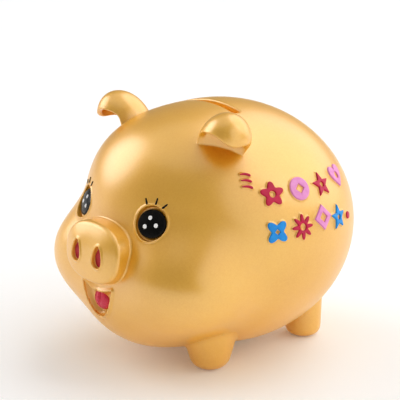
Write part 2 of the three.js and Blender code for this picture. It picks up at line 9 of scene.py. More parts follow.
import bpy
import numpy as np
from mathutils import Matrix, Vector


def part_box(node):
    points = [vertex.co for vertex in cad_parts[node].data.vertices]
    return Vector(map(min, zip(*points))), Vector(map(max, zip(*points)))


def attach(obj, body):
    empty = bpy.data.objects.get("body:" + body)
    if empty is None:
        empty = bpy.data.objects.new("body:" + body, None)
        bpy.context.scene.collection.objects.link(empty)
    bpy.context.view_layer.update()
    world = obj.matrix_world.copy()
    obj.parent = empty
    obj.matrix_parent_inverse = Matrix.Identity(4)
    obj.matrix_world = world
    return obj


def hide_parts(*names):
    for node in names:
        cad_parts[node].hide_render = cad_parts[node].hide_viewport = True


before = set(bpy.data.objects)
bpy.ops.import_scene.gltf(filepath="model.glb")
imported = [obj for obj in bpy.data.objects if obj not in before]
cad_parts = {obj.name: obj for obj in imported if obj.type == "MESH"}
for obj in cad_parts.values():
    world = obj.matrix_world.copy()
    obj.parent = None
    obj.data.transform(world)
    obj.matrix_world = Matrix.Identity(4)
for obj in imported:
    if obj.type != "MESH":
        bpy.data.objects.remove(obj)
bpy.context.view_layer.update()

MM = 0.001
TINY = 1e-9  # keeps divisions off zero
FINE = 1.0  # cell sizes are multiplied by this

# ---------------------------------------------------------------- the form's dimensions, millimetres

WALL = 5.0
BELLY_HEIGHT = 6.5
BELLY_BLEND = 6.0
TRUNK = ((0, 0, 77.5), (82, 86, 75.3))
OTHER_LOBES = (  # centre, radii and blend width of the brow, the cheeks and the muzzle
    ((0, -26.5, 104.5), (62, 51.7, 44.3), 8.0),
    ((35.6, -54.8, 60.1), (36.8, 35.9, 32.3), 14.0),
    ((0, -54.6, 42.9), (29.4, 32, 27.6), 30.0),
)
SIDES = (("left", 1), ("right", -1))

# How wide an edge or a joint between two shapes is rounded.
CRISP = 0.5
EASED = 0.8
SOFT = 1.2

SLOT = dict(half_length=25.3, half_width=2.75, y=-7.7, round=1.4, bottom=120, lip=1.2)
SLOT_AREA = ((0, SLOT["y"], 148.0), 40)  # an area is a middle and a radius, here round all of the slot

EYE_CENTRE = np.array([31.37, -77.32, 95.97])
EYE_OUTWARD = (0.33, -0.872, 0.363)
EYE_REACH = 19
EYE_SOCKET = dict(radius=9.9, depth=3.4, rim=0.45, rim_sunk=0.1)
EYE_SEAT = dict(gap=0.15, lift=0.1)
EYE_SEAT_PROFILE = (  # inwards from the seat's outside, and up from its underside
    (0, 0), (0, 1.5), (0.3, 1.75), (0.7, 1.6), (1.1, 1.3), (2.2, 1.25),
)
EYE_DISC = dict(radius=8.1, widening=1.1, floor=-1.6, edge=1.0, dome=0.9, round=0.45)
HIGHLIGHTS = ((-1.0, 3.1), (-3.5, -2.0), (3.3, -0.7))  # across and up from the eye's middle
HIGHLIGHT = dict(radius=1.3, sink=0.25, side=0.15, dome=0.5)
LASHES = (  # root and tip, across and up from the eye's middle
    ((-3.9, 10.1), (-5.2, 13.2)),
    ((1.45, 10.6), (2.0, 14.1)),
    ((5.6, 9.2), (8.1, 11.6)),
)
LASH_WIDTH = (0.58, 0.36)  # from the root to the tip
LASH_THICKNESS = 0.38

SNOUT_CENTRE = np.array([0, -96, 75.8])
SNOUT_TILT = math.radians(8)
SNOUT_FACE = (25.0, 17.2)
SNOUT_POWER = 2.4
SNOUT_CROWN = 3.4
SNOUT_SLOPE = (-0.02, 0.16)  # how fast the band behind the face widens, to the side and upwards
SNOUT_EDGE = 2.0
SNOUT_FILLET = 1.4
SNOUT_BACK = 15.0
SNOUT_REACH = 20
NOSTRIL = dict(x=10.0, y=-0.6, radius=4.2, height=12.9, floor=1.1, top=2.9, taper=0.15, inset=0.7)
NOSTRIL_LIP = dict(out=0.35, sunk=0.05, thick=0.6)
NOSTRIL_ENAMEL = dict(thick=0.5, hump=0.25)

MOUTH = dict(corner_x=13.6, corner_z=55.0, lip_z=51.6, bottom_z=35.6, lean=-1.3, depth=3.6, rounding=1.5)
MOUTH_LIP = dict(out=0.5, sunk=0.25, thick=1.2)
MOUTH_BOSS = dict(border=4, depth=9.5)  # what the hollow keeps off the back of the mouth
MOUTH_AREA = ((0, -88.0, 45.0), 27)
TONGUE = dict(x=-1.3, z=45.2, half_width=7.0, half_height=6.1, y=-90.6, thick=4.5, power=2.4)
TONGUE_GROOVE = dict(depth=1.5, width=0.13)

EAR_BASE = np.array([45.5, -36.0, 134.2])
EAR_OUTWARD = (0.537, -0.248, 0.806)
EAR_OPENING = (0.7, -0.7, 0.0)
EAR_CENTRE = (-0.5, -1.0, 2.0)
EAR_RADII = (15.4, 16.0, 20.8)
EAR_SHEET = 3.0
EAR_FILLET = 5.0
EAR_SLANT = dict(c=15, n=8, along=0.9, up=0.45)  # the plane that trims the hood's inner shoulder
EAR_WALL = dict(behind=1.0, lean=0.42)
EAR_ROOF = dict(height=8.2, slope=0.75, wave=2.2, wave_middle=-9, wave_half=13)
EAR_DISH = dict(depth=1.2, half_width=13, rise=6)

FOOT_PLACES = {"front": (33.4, -35.7), "rear": (33.4, 43.8)}
FOOT_SHAPES = {  # radius at the floor before rounding, and how fast it widens upwards
    "front": (10.5, 0.28),
    "rear": (11.3, 0.02),
}
FOOT = dict(edge=7.0, height=30.0, fillet=2.4)

TAIL = dict(z=90.0, start=89.5, pitch=7.8, curl=7.5, tightening=0.35, turns=1.15, thick=2.9, thin=1.7)
TAIL_ROOT = dict(depth=8, drop=0.5, extra=0.4)
TAIL_FILLET = 2.5
TAIL_STEPS = 60

STOPPER = dict(hole=15.5, flange=18.5, flange_height=2.2, neck=8.5, wall=2.4, gap=0.3)
STOPPER_RING = dict(radius=14.5, thick=0.6)
STOPPER_TAB = (6.5, 1.5, 2.2)
STOPPER_AREA = ((0, 0, BELLY_HEIGHT), 30)
BORE_TOP = 30

MOTIF_SIZE = 7.4
MOTIF_HEIGHT = 1.45
MOTIF_BORDER = 0.55
MOTIF_REACH = 1.7 * MOTIF_SIZE

# ---------------------------------------------------------------- distance arithmetic


def ellipsoid(p, centre, radii):
    """Distance outside an ellipsoid, exact at its surface to first order."""
    radii = np.asarray(radii, float)
    q = (p - np.asarray(centre, float)) / radii
    size = np.sqrt((q**2).sum(-1)) + TINY
    steep = np.sqrt(((q / radii) ** 2).sum(-1)) + TINY
    return size * (size - 1) / steep


def smooth_min(a, b, k):
    overlap = np.maximum(k - np.abs(a - b), 0) / k
    return np.minimum(a, b) - overlap**2 * k / 4


def smooth_max(a, b, k):
    return -smooth_min(-a, -b, k)


def mirrored(p):
    """The points folded onto the pig's left side."""
    return np.column_stack([np.abs(p[:, 0]), p[:, 1], p[:, 2]])


def unit(values):
    values = np.asarray(values, float)
    return values / np.linalg.norm(values)


def outward_axes(outward):
    """Rows that turn a point into (across, up, outward) of a place on the skin."""
    outward = unit(outward)
    across = unit(np.cross((0, 0, 1), outward))
    return np.array([across, np.cross(outward, across), outward])


def ear_axes():
    """Rows for the ear: along its base chord, the way it opens, off the skin."""
    outward = unit(EAR_OUTWARD)
    opening = np.asarray(EAR_OPENING, float)
    opening = unit(opening - opening @ outward * outward)
    return np.array([np.cross(outward, opening), opening, outward])


EYE_AXES = outward_axes(EYE_OUTWARD)
SNOUT_AXES = outward_axes((0, -math.cos(SNOUT_TILT), math.sin(SNOUT_TILT)))
EAR_AXES = ear_axes()


def local(p, origin, axes):
    return (p - origin) @ axes.T


def to_segment(p, a, b):
    """Distance from points to a straight stretch, and how far along it each is nearest."""
    edge = b - a
    along = np.clip(((p - a) @ edge) / (edge @ edge), 0, 1)
    return np.sqrt(((p - a - along[:, None] * edge) ** 2).sum(-1)), along


def change_near(distance, p, centre, radius, change):
    """Applies change(points, distance) to the points within radius of centre."""
    near = ((p - np.asarray(centre, float)) ** 2).sum(-1) < radius**2
    if near.any():
        distance[near] = change(p[near], distance[near])
    return distance


# ---------------------------------------------------------------- outlines


def bezier(start, a, b, end, count=10):
    t = np.linspace(0, 1, count, endpoint=False)[:, None]
    points = [np.asarray(v, float) for v in (start, a, b, end)]
    weights = ((1 - t) ** 3, 3 * t * (1 - t) ** 2, 3 * t**2 * (1 - t), t**3)
    return sum(w * v for w, v in zip(weights, points))


def polar_outline(radius_at, count=60):
    turn = np.arange(count) * 2 * np.pi / count
    radius = radius_at(turn)
    return np.column_stack([np.cos(turn + np.pi / 2), np.sin(turn + np.pi / 2)]) * radius[:, None]


def outline_distance(q, outline):
    """Distance from flat points to a closed outline, negative inside it."""
    nearest = np.full(len(q), np.inf)
    inside = np.zeros(len(q), bool)
    for start, end in zip(outline, np.roll(outline, -1, 0)):
        edge = end - start
        along = np.clip(((q - start) @ edge) / (edge @ edge), 0, 1)
        nearest = np.minimum(nearest, ((q - start - along[:, None] * edge) ** 2).sum(-1))
        if edge[1] != 0:
            crosses = (start[1] > q[:, 1]) != (end[1] > q[:, 1])
            inside ^= crosses & (q[:, 0] < start[0] + (q[:, 1] - start[1]) / edge[1] * edge[0])
    return np.where(inside, -1, 1) * np.sqrt(nearest)


def mouth_outline():
    """An upper lip that dips in the middle over a bowl."""
    corner, top, lip, bottom = (MOUTH[k] for k in ("corner_x", "corner_z", "lip_z", "bottom_z"))
    chin = (MOUTH["lean"], bottom)
    return np.vstack([
        bezier((-corner, top), (-corner * 0.7, top - 1.4), (-corner * 0.35, lip), (0, lip)),
        bezier((0, lip), (corner * 0.35, lip), (corner * 0.7, top - 1.4), (corner, top)),
        bezier((corner, top), (corner * 0.88, top - 9), (corner * 0.42, bottom), chin),
        bezier(chin, (-corner * 0.6, bottom), (-corner * 0.9, top - 9), (-corner, top)),
    ])


def nostril_outline():
    radius = NOSTRIL["radius"]
    tip = NOSTRIL["height"] / 2
    low = radius - tip
    turn = np.linspace(np.pi, 2 * np.pi, 12, endpoint=False)
    bowl = np.column_stack([np.cos(turn), np.sin(turn)]) * radius + (0, low)
    right = bezier((radius, low), (radius, low + 4), (radius * 0.55, tip), (0, tip))
    left = bezier((0, tip), (-radius * 0.55, tip), (-radius, low + 4), (-radius, low))
    return np.vstack([bowl, right, left])


MOUTH_OUTLINE = mouth_outline()
NOSTRIL_OUTLINE = nostril_outline()


def regular(radius, corners):
    return polar_outline(lambda turn: np.full(len(turn), radius), corners)


def blossom(s):
    return polar_outline(lambda t: s * (0.8 + 0.2 * np.cos(5 * t))), regular(s * 0.26, 16)


def clover(s):
    leaves = polar_outline(lambda t: s * (0.76 - 0.24 * np.cos(4 * t)))
    return leaves, regular(s * 0.22, 4)


def coin_ring(s):
    return regular(s * 0.92, 40), regular(s * 0.4, 4)


def burst(s):
    return polar_outline(lambda t: s * (0.74 + 0.26 * np.cos(8 * t)), 80), regular(s * 0.28, 16)


def star(s):
    corners = polar_outline(lambda t: s * np.where(np.round(t * 5 / np.pi) % 2, 0.48, 1.05), 10)
    return corners, regular(s * 0.24, 5)


def lozenge(s):
    return regular(s, 4), regular(s * 0.42, 4)


def dot(s):
    return regular(s * 0.3, 24), None


def heart(s):
    outline = np.vstack([
        bezier((0, -0.95), (0.5, -0.5), (1.05, 0), (1, 0.42)),
        bezier((1, 0.42), (0.95, 1.02), (0.2, 1), (0, 0.45)),
        bezier((0, 0.45), (-0.2, 1), (-0.95, 1.02), (-1, 0.42)),
        bezier((-1, 0.42), (-1.05, 0), (-0.5, -0.5), (0, -0.95)),
    ])
    return outline * s, regular(s * 0.3, 16)


def flick(s):
    bow = s * 0.35
    return np.vstack([
        bezier((-bow, -0.3), (-bow * 0.3, 1.0), (bow * 0.5, 1.1), (bow, 0.7)),
        bezier((bow, 0.7), (bow * 1.35, 0.3), (bow * 1.3, -0.4), (bow, -0.7)),
        bezier((bow, -0.7), (bow * 0.4, -0.3), (-bow * 0.4, -0.6), (-bow, -1.1)),
        bezier((-bow, -1.1), (-bow * 1.3, -1.0), (-bow * 1.3, -0.5), (-bow, -0.3)),
    ]), None


# ---------------------------------------------------------------- the sculpted form

# A factor a little under 1 makes up for a distance that grows too fast where its shape slopes.


def skin(p):
    """Distance outside the plain body."""
    q = mirrored(p)
    d = ellipsoid(q, *TRUNK)
    for centre, radii, k in OTHER_LOBES:
        d = smooth_min(d, ellipsoid(q, centre, radii), k)
    return smooth_max(d, BELLY_HEIGHT - p[:, 2], BELLY_BLEND)


def gradient(field, p, step=0.02):
    g = np.empty_like(p)
    for axis in range(3):
        offset = np.zeros(3)
        offset[axis] = step
        g[:, axis] = (field(p + offset) - field(p - offset)) / (2 * step)
    return g


def skin_frame(place):
    """The point of the skin nearest a place, and its axes."""
    p = np.array([place], float)
    for _ in range(6):
        g = gradient(skin, p)
        p = p - skin(p)[:, None] * g / (g**2).sum(-1, keepdims=True)
    return p[0], outward_axes(gradient(skin, p)[0])


def eye_socket(p, d):
    q = local(mirrored(p), EYE_CENTRE, EYE_AXES)
    radius = np.hypot(q[:, 0], q[:, 1])
    rim = EYE_SOCKET["rim"]
    outside = radius - EYE_SOCKET["radius"]
    bead = np.hypot(outside - rim, d + EYE_SOCKET["rim_sunk"]) - rim
    pit = smooth_max(outside, -q[:, 2] - EYE_SOCKET["depth"], EASED)
    return smooth_max(smooth_min(d, bead, SOFT), -pit, CRISP)


def mouth_pocket(p, d):
    m = outline_distance(p[:, [0, 2]], MOUTH_OUTLINE)
    lip = np.hypot(m - MOUTH_LIP["out"], d + MOUTH_LIP["sunk"]) - MOUTH_LIP["thick"]
    bowl = -d - MOUTH["depth"] * (1 - np.exp(np.minimum(m, 0) / MOUTH["rounding"]))
    return smooth_max(smooth_min(d, lip, SOFT), -np.maximum(m, bowl), 0.6)


def mouth_boss(p, hollow):
    """Keeps the hollow away from the back of the mouth."""
    m = outline_distance(p[:, [0, 2]], MOUTH_OUTLINE)
    boss = np.maximum(m - MOUTH_BOSS["border"], WALL - MOUTH_BOSS["depth"] - hollow)
    return np.maximum(hollow, -boss)


def coin_slot(p, d):
    x = np.abs(p[:, 0]) - SLOT["half_length"] + SLOT["round"]
    y = np.abs(p[:, 1] - SLOT["y"]) - SLOT["half_width"] + SLOT["round"]
    outside = np.hypot(np.maximum(x, 0), np.maximum(y, 0))
    slot = outside + np.minimum(np.maximum(x, y), 0) - SLOT["round"]
    slot = np.maximum(slot, SLOT["bottom"] - p[:, 2])
    return smooth_max(d, -slot, SLOT["lip"])


def stopper_hole(p, d):
    radius = np.hypot(p[:, 0], p[:, 1])
    seat = BELLY_HEIGHT + STOPPER["flange_height"]
    rebate = np.maximum(radius - STOPPER["flange"] - STOPPER["gap"], p[:, 2] - seat)
    bore = np.maximum(radius - STOPPER["hole"], p[:, 2] - BORE_TOP)
    return smooth_max(d, -np.minimum(rebate, bore), CRISP)


def motif_distance(q, outlines):
    shape, hole = outlines
    m = outline_distance(q, shape)
    return m if hole is None else np.maximum(m, -outline_distance(q, hole))


def motif_border(place):
    """A low gold margin round an ornament, raised from the skin."""
    def change(p, d):
        q = local(p, place["point"], place["axes"])
        m = motif_distance(q[:, :2], place["outlines"])
        return smooth_min(d, smooth_max(m - MOTIF_BORDER, d - MOTIF_BORDER, CRISP), CRISP)
    return change


def body_shell(p):
    """The moulded shell: skin, sockets, mouth, slot and borders, hollow inside."""
    plain = skin(p)
    d = plain.copy()
    for _, side in SIDES:
        centre = EYE_CENTRE * (side, 1, 1)
        change_near(d, p, centre, EYE_REACH, eye_socket)
    change_near(d, p, *MOUTH_AREA, mouth_pocket)
    for place in MOTIF_PLACES:
        change_near(d, p, place["point"], MOTIF_REACH, motif_border(place))
    hollow = plain + WALL
    change_near(hollow, p, *MOUTH_AREA, mouth_boss)
    d = smooth_max(d, -hollow, EASED)
    change_near(d, p, *SLOT_AREA, coin_slot)
    change_near(d, p, *STOPPER_AREA, stopper_hole)
    return d


def seated(solid, p, blend, sink=0.6, feather=0.12):
    """A piece that grows out of the skin with a small fillet and reaches a little way into it."""
    s = skin(p)
    grown = smooth_min(solid, s + feather, blend)
    return np.maximum(np.maximum(grown, -s - sink), solid - blend - 0.5)


def oval(u, v, half_width, half_height):
    """Distance to a squarish oval, from its gradient."""
    a = np.abs(u) / half_width
    b = np.abs(v) / half_height
    n = SNOUT_POWER
    size = (a**n + b**n + TINY) ** (1 / n)
    steep = size ** (1 - n) * np.hypot(a ** (n - 1) / half_width, b ** (n - 1) / half_height)
    return (size - 1) / (steep + 1e-4)


def nostril_distance(q):
    """Flat distance to the nearer nostril, in the snout's frame."""
    folded = np.column_stack([np.abs(q[:, 0]) - NOSTRIL["x"], q[:, 1] - NOSTRIL["y"]])
    return outline_distance(folded, NOSTRIL_OUTLINE)


def nostril(p, d):
    q = local(p, SNOUT_CENTRE, SNOUT_AXES)
    m = nostril_distance(q)
    lip = np.hypot(m - NOSTRIL_LIP["out"], d + NOSTRIL_LIP["sunk"]) - NOSTRIL_LIP["thick"]
    depth = np.clip(NOSTRIL["top"] - q[:, 2], 0, 4)
    pit = smooth_max((m + 0.3 + NOSTRIL["taper"] * depth) * 0.9, NOSTRIL["floor"] - q[:, 2], 0.6)
    return smooth_max(smooth_min(d, lip, 0.9), -pit, CRISP)


def snout(p):
    """A crowned oval face on a band that widens upwards on its way to the head."""
    q = local(p, SNOUT_CENTRE, SNOUT_AXES)
    u, v, w = q.T
    edge = oval(u, v, *SNOUT_FACE)
    spread = np.clip(1 + edge / SNOUT_FACE[1], 0, 1.3)
    crown = (w - SNOUT_CROWN * (1 - spread**2)) * 0.94
    upward = np.clip(v / np.maximum(np.hypot(u, v), 1), 0, 1) ** 2
    slope = SNOUT_SLOPE[0] + (SNOUT_SLOPE[1] - SNOUT_SLOPE[0]) * upward
    band = (edge - slope * np.clip(-w, -3, 10)) * 0.96
    drum = np.maximum(smooth_max(band, crown, SNOUT_EDGE), -w - SNOUT_BACK)
    change_near(drum, p, SNOUT_CENTRE, SNOUT_REACH, nostril)
    return seated(drum, p, SNOUT_FILLET)


def nostril_inlay(p):
    """Red enamel run into the floor of a nostril."""
    q = local(p, SNOUT_CENTRE, SNOUT_AXES)
    m = nostril_distance(q)
    hump = NOSTRIL_ENAMEL["hump"] * np.cos(q[:, 1] * 0.6)
    sheet = np.abs(q[:, 2] - NOSTRIL["floor"]) - NOSTRIL_ENAMEL["thick"] - hump
    return smooth_max(m + NOSTRIL["inset"], sheet, CRISP)


def ear(p):
    """A hood open on one side under a wavy drooping rim, with a hollowed wall a little way behind it."""
    q = local(mirrored(p), EAR_BASE, EAR_AXES)
    c, h, n = q.T  # along the base chord, the way the ear opens, off the skin
    slant = (c - EAR_SLANT["c"]) * EAR_SLANT["along"] - (n - EAR_SLANT["n"]) * EAR_SLANT["up"]
    hood = smooth_max(ellipsoid(q, EAR_CENTRE, EAR_RADII), slant, EAR_FILLET)
    swing = np.cos((c - EAR_ROOF["wave_middle"]) / EAR_ROOF["wave_half"] * np.pi)
    roof = n - (EAR_ROOF["height"] + EAR_ROOF["slope"] * h + EAR_ROOF["wave"] * swing)
    mouth = smooth_max(-0.5 - h, roof, EAR_FILLET)
    dish = EAR_DISH["depth"] * np.clip(1 - (c / EAR_DISH["half_width"]) ** 2, 0, 1)
    dish = dish * np.clip(n / EAR_DISH["rise"], 0, 1)
    wall = h - EAR_WALL["behind"] + EAR_WALL["lean"] * np.maximum(n, 0) + dish
    void = smooth_max(smooth_min(hood + EAR_SHEET, mouth, 1.5), -wall, 1.5)
    return seated(smooth_max(hood, -void, SOFT), p, EASED)


def foot(p, end):
    x, y = FOOT_PLACES[end]
    q = mirrored(p) - (x, y, 0)
    radius = np.hypot(q[:, 0], q[:, 1])
    z = q[:, 2]
    sole, flare = FOOT_SHAPES[end]
    side = (radius - sole - flare * np.clip(z, 0, FOOT["height"])) * 0.97
    column = np.maximum(smooth_max(side, -z, FOOT["edge"]), z - FOOT["height"])
    return seated(column, p, FOOT["fillet"])


def tail(p):
    """A tapering tube that leaves the rump and curls once round."""
    part = np.linspace(0, 1, TAIL_STEPS + 1)
    angle = part * TAIL["turns"] * 2 * np.pi
    width = TAIL["curl"] * (1 - TAIL["tightening"] * part)
    curl = np.column_stack([
        width * np.sin(angle),
        TAIL["start"] + TAIL["pitch"] * part,
        TAIL["z"] + width * (1 - np.cos(angle)),
    ])
    root = [0, TAIL["start"] - TAIL_ROOT["depth"], TAIL["z"] - TAIL_ROOT["drop"]]
    line = np.vstack([root, curl])
    radii = TAIL["thick"] + (TAIL["thin"] - TAIL["thick"]) * part
    radii = np.concatenate([[TAIL["thick"] + TAIL_ROOT["extra"]], radii])
    d = np.full(len(p), 1e3)
    for a, b, ra, rb in zip(line[:-1], line[1:], radii[:-1], radii[1:]):
        gap, along = to_segment(p, a, b)
        d = np.minimum(d, gap - ra - (rb - ra) * along)
    return seated(d, p, TAIL_FILLET)


def tongue(p):
    """A pad narrowing to a rounded tip, crowned on both sides of a groove that leans with it."""
    v = (p[:, 2] - TONGUE["z"]) / TONGUE["half_height"]
    u = (p[:, 0] - TONGUE["x"]) / TONGUE["half_width"] - 0.05 * v
    narrow = 1 + 0.3 * np.clip(-v, 0, 1) ** 2
    n = TONGUE["power"]
    size = ((np.abs(u) * narrow) ** n + np.abs(v) ** n + TINY) ** (1 / n)
    side = (size - 1) * TONGUE["half_height"]
    groove = TONGUE_GROOVE["depth"] * np.exp(-((u / TONGUE_GROOVE["width"]) ** 2))
    groove = groove * np.clip(1.1 - np.abs(v - 0.3), 0, 1)
    front = TONGUE["y"] + 1.8 * size**2 + groove - 0.5 * np.clip(v, -1, 0)
    back = p[:, 1] - TONGUE["y"] - TONGUE["thick"]
    return smooth_max(smooth_max(side, front - p[:, 1], 1.8), back, 0.6)


def lash(p, ends, side):
    """A thin pointed stroke that follows the skin above the eye."""
    q = local(p * (side, 1, 1), EYE_CENTRE, EYE_AXES)[:, :2]
    root, tip = (np.asarray(end, float) for end in ends)
    gap, along = to_segment(q, root, tip)
    stroke = gap - LASH_WIDTH[0] - (LASH_WIDTH[1] - LASH_WIDTH[0]) * along
    return smooth_max(stroke, np.abs(skin(p) - 0.02) - LASH_THICKNESS, 0.3)


def stopper(p):
    """A hollow rubber cup with a flange flush in the belly and a finger tab under it."""
    radius = np.hypot(p[:, 0], p[:, 1])
    z = p[:, 2]
    seat = BELLY_HEIGHT + STOPPER["flange_height"] - STOPPER["gap"]
    top = BELLY_HEIGHT + STOPPER["neck"]
    middle = (BELLY_HEIGHT + seat) / 2
    half_height = (seat - BELLY_HEIGHT) / 2
    flange = smooth_max(radius - STOPPER["flange"], np.abs(z - middle) - half_height, EASED)
    outer = STOPPER["hole"] - STOPPER["gap"]
    neck = smooth_max(radius - outer, np.maximum(z - top, seat - 1 - z), EASED)
    bowl = np.maximum(radius - outer + STOPPER["wall"], seat + 0.8 - z)
    cup = smooth_min(flange, smooth_max(neck, -bowl, EASED), CRISP)
    ring = np.hypot(radius - STOPPER_RING["radius"], z - BELLY_HEIGHT) - STOPPER_RING["thick"]
    half_length, half_width, drop = STOPPER_TAB
    x = np.maximum(np.abs(p[:, 0]) - half_length + half_width, 0)
    grip = np.hypot(x, p[:, 1]) - half_width
    tab = smooth_max(grip, np.abs(z - BELLY_HEIGHT) - drop, EASED)
    return smooth_min(smooth_max(cup, -ring, 0.4), tab, SOFT)


def motif(p, place):
    q = local(p, place["point"], place["axes"])
    m = motif_distance(q[:, :2], place["outlines"])
    s = skin(p)
    return smooth_max(smooth_max(m, s - MOTIF_HEIGHT, 0.7), -s - 0.4, 0.2)


# Ornaments: CAD node, outline, paint, place beside the skin, turn and shift along the local up.
MOTIFS = (
    ("flank_blossom", blossom, "crimson_paint", (69.2, -22.6, 110.4), 0, 0),
    ("flank_coin_ring", coin_ring, "pink_paint", (72.4, -4.5, 111.3), 0, 0),
    ("flank_star", star, "crimson_paint", (71.5, 13.6, 110.4), 0, 0),
    ("flank_heart", heart, "pink_paint", (63.4, 31.7, 110.4), 0, 0),
    ("flank_clover", clover, "blue_paint", (76.7, -25, 91.3), 0, 0),
    ("flank_burst", burst, "crimson_paint", (79.9, -8.5, 91.7), 0, 0),
    ("flank_lozenge", lozenge, "pink_paint", (79.4, 8.3, 94.1), 0, 0),
    ("flank_small_star", star, "blue_paint", (77.3, 23.4, 90.9), 0, 0),
    ("flank_dot", dot, "crimson_paint", (73.3, 35.8, 88.9), 0, 0),
    ("flank_flick_1", flick, "crimson_paint", (61.3, -34.3, 118.8), -0.35, -3.6),
    ("flank_flick_2", flick, "crimson_paint", (61.3, -34.3, 118.8), -0.35, 0),
    ("flank_flick_3", flick, "crimson_paint", (61.3, -34.3, 118.8), -0.35, 3.6),
)


def turned(outline, turn, shift):
    """An outline turned about its middle and shifted up, or None where there is none."""
    if outline is None:
        return None
    c, s = math.cos(turn), math.sin(turn)
    return outline @ np.array([[c, s], [-s, c]]) + (0, shift)


def motif_places():
    """Each ornament's node, paint, outlines and seat on the skin."""
    places = []
    for name, outline, paint, where, turn, shift in MOTIFS:
        point, axes = skin_frame(where)
        outlines = [turned(line, turn, shift) for line in outline(MOTIF_SIZE)]
        places.append(dict(name=name, paint=paint, point=point, axes=axes, outlines=outlines))
    return places


MOTIF_PLACES = motif_places()

# ---------------------------------------------------------------- surface nets

CORNERS = np.array([(i, j, k) for i in (0, 1) for j in (0, 1) for k in (0, 1)])
EDGES = [(a, b) for a in range(8) for b in range(a + 1, 8) if np.abs(CORNERS[a] - CORNERS[b]).sum() == 1]


FIRST_BLOCK = 16  # cells along the side of the first blocks
BLOCK_REACH = 1.6  # a block is kept when its middle is nearer to the surface than this many sides


def cells_near_surface(field, low, high, cell):
    """Integer corners of the cells that the surface may pass through, found by halving blocks."""
    level = FIRST_BLOCK
    counts = np.ceil((high - low) / (cell * level)).astype(int)
    blocks = np.stack(np.meshgrid(*[np.arange(n) for n in counts], indexing="ij"), -1).reshape(-1, 3)
    while True:
        size = cell * level
        d = field(low + (blocks + 0.5) * size)
        blocks = blocks[np.abs(d) < size * BLOCK_REACH]
        if level == 1:
            return blocks
        level //= 2
        blocks = (blocks[:, None, :] * 2 + CORNERS[None]).reshape(-1, 3)


def surface_nets(field, low, high, cell):
    """Vertices and quads of the field's zero surface."""
    cells = cells_near_surface(field, low, high, cell)
    span = cells.max(0) + 3
    weights = np.array([span[1] * span[2], span[2], 1])
    corner_keys = (cells[:, None, :] + CORNERS[None]) @ weights
    keys, inverse = np.unique(corner_keys, return_inverse=True)
    grid = np.stack([keys // weights[0], keys // weights[1] % span[1], keys % span[2]], -1)
    values = field(low + grid * cell)[inverse.reshape(corner_keys.shape)]
    mixed = (values < 0).any(1) & (values >= 0).any(1)
    cells, values = cells[mixed], values[mixed]

    total = np.zeros((len(cells), 3))
    count = np.zeros(len(cells))
    for a, b in EDGES:
        cross = (values[:, a] < 0) != (values[:, b] < 0)
        t = values[:, a] / np.where(cross, values[:, a] - values[:, b], 1)
        point = CORNERS[a] + t[:, None] * (CORNERS[b] - CORNERS[a])
        total += np.where(cross[:, None], point, 0)
        count += cross
    vertices = low + (cells + total / count[:, None]) * cell

    cell_keys = cells @ weights
    order = np.argsort(cell_keys)
    sorted_keys = cell_keys[order]
    quads = []
    for axis in range(3):
        b, c = [(1, 2), (2, 0), (0, 1)][axis]
        step_b, step_c = weights[b], weights[c]
        far = [4, 2, 1][axis]
        cross = (values[:, 0] < 0) != (values[:, far] < 0)
        here = np.nonzero(cross)[0]
        around = np.stack([cell_keys[here] - o for o in (0, step_b, step_b + step_c, step_c)], -1)
        place = np.minimum(np.searchsorted(sorted_keys, around), len(sorted_keys) - 1)
        complete = (sorted_keys[place] == around).all(-1)
        found = order[place]
        inward = values[here, 0] >= 0
        found[inward] = found[inward][:, ::-1]
        quads.append(found[complete])
    return vertices, np.vstack(quads)


def settle(field, p, rounds, reach):
    """Moves points onto the field's zero surface, by at most reach in each round."""
    for _ in range(rounds):
        g = gradient(field, p)
        step = field(p)[:, None] * g / np.maximum((g**2).sum(-1, keepdims=True), 0.1)
        length = np.linalg.norm(step, axis=-1, keepdims=True)
        p = p - step * np.minimum(1, reach / np.maximum(length, TINY))
    return p


def new_object(name, mesh):
    obj = bpy.data.objects.new(name, mesh)
    bpy.context.scene.collection.objects.link(obj)
    return obj


def thinned(obj, share):
    """The object's mesh with its flat stretches made of fewer triangles."""
    modifier = obj.modifiers.new("thin", "DECIMATE")
    modifier.ratio = share
    evaluated = obj.evaluated_get(bpy.context.evaluated_depsgraph_get())
    mesh = bpy.data.meshes.new_from_object(evaluated)
    obj.modifiers.clear()
    obj.data = mesh
    return obj


def sculpted(name, field, low, high, cell, most=None, mirror=False):
    """A mesh piece of a field's surface, at most `most` triangles, with the field's own normals."""
    margin = cell * 3
    vertices, quads = surface_nets(field, low - margin, high + margin, cell)
    vertices = settle(field, vertices, rounds=2, reach=cell / 2)
    mesh = bpy.data.meshes.new(name)
    mesh.from_pydata(vertices, [], quads.tolist())
    mesh.validate()
    obj = new_object(name, mesh)
    if most and 2 * len(quads) > most:
        thinned(obj, most / (2 * len(quads)))
    mesh = obj.data
    co = np.empty(len(mesh.vertices) * 3)
    mesh.vertices.foreach_get("co", co)
    points = settle(field, co.reshape(-1, 3), rounds=2, reach=cell / 2)
    normals = gradient(field, points)
    normals /= np.maximum(np.linalg.norm(normals, axis=-1, keepdims=True), TINY)
    if mirror:
        points = points * (-1, 1, 1)
        normals = normals * (-1, 1, 1)
        mesh.flip_normals()
    mesh.vertices.foreach_set("co", (points * MM).ravel())
    mesh.update()
    mesh.shade_smooth()
    mesh.normals_split_custom_set_from_vertices(normals)
    return obj


# ---------------------------------------------------------------- materials


SPREAD = (0.3, 0.7)  # the values that a noise mostly stays between


